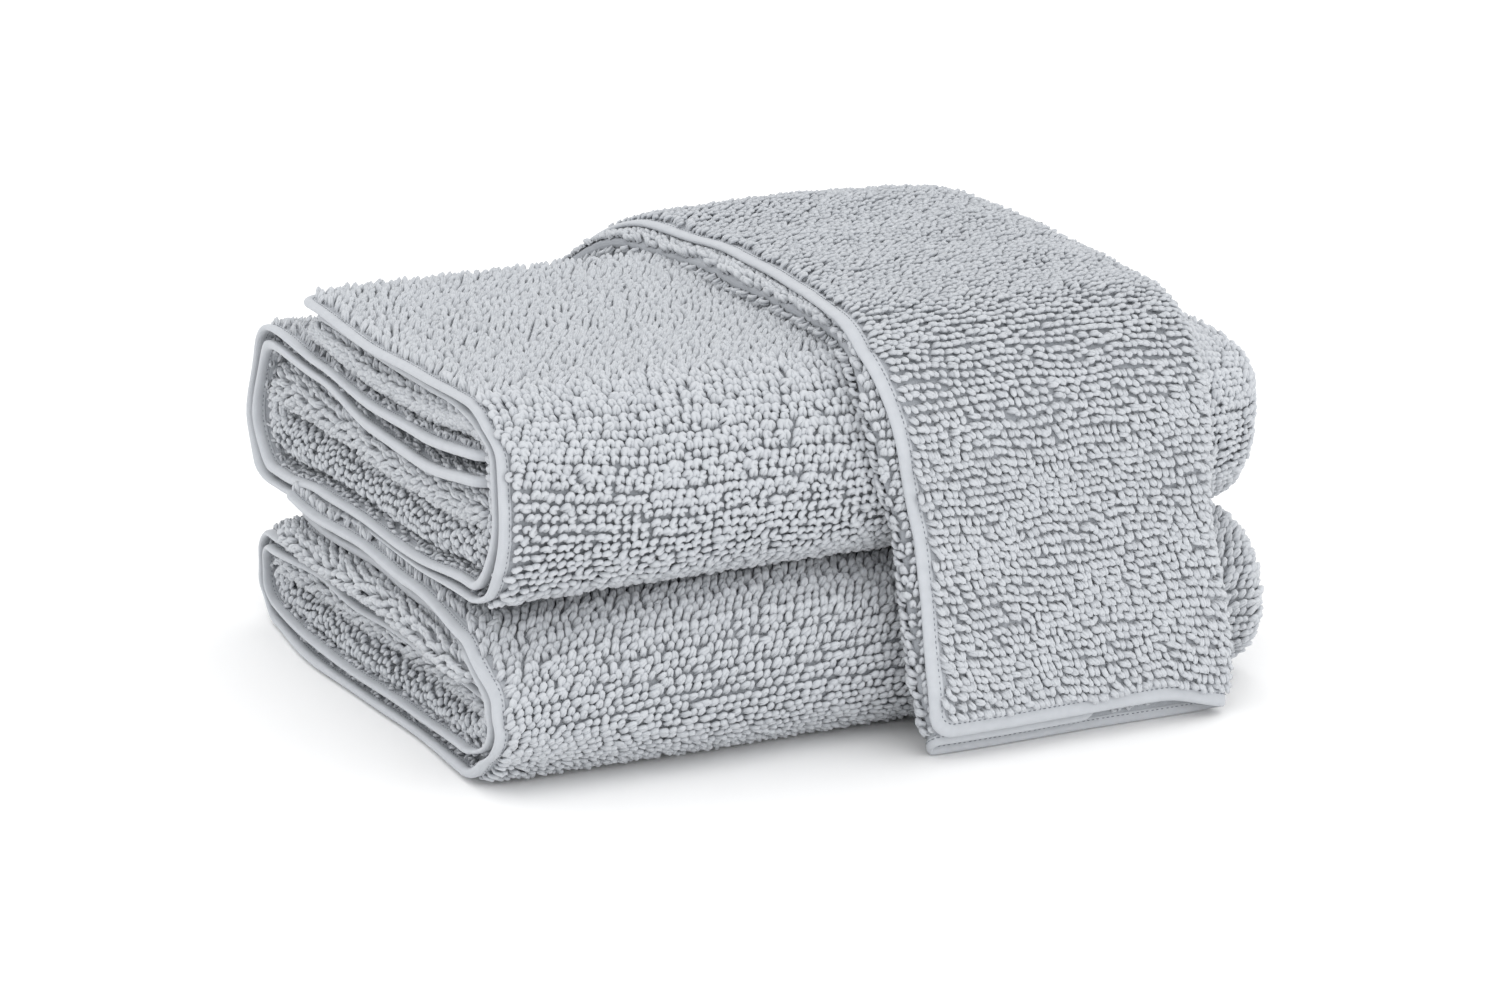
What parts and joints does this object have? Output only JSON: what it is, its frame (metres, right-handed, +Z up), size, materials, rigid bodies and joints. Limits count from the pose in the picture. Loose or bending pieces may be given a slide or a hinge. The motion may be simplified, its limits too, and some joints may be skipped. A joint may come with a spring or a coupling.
{
  "type": "bath towel set",
  "caption": "Bound terry bath towels, folded and stacked, with a smaller guest towel folded lengthwise and draped over them from front to back.",
  "frame": {"origin": "middle of the stack's footprint, on the surface it lies on", "axes": "+X along the long side of the folded stack, towards the folded ends; +Y from the front with the hanging guest towel to the back; +Z up"},
  "size_m": [0.36, 0.3232, 0.1804],
  "materials": {
    "terry": "looped cotton terry, matte",
    "binding_tape": "flat woven cotton tape, matte",
    "sewing_thread": "spun polyester thread, satin"
  },
  "bodies": {
    "bottom_bath_towel": {"bottom_towel_terry": "terry", "bottom_towel_binding": "binding_tape", "bottom_towel_needle_thread": "sewing_thread", "bottom_towel_bobbin_thread": "sewing_thread"},
    "top_bath_towel": {"top_towel_terry": "terry", "top_towel_binding": "binding_tape", "top_towel_needle_thread": "sewing_thread", "top_towel_bobbin_thread": "sewing_thread"},
    "guest_towel": {"guest_towel_terry": "terry", "guest_towel_binding": "binding_tape", "guest_towel_needle_thread": "sewing_thread", "guest_towel_bobbin_thread": "sewing_thread"}
  },
  "joints": [
    {"name": "top_towel_lift", "type": "slide", "parent": "bottom_bath_towel", "child": "top_bath_towel", "axis": [0, 0, 1], "range_m": [0, 0.2]},
    {"name": "guest_towel_lift", "type": "slide", "parent": "top_bath_towel", "child": "guest_towel", "axis": [0, 0, 1], "range_m": [0, 0.25]}
  ]
}
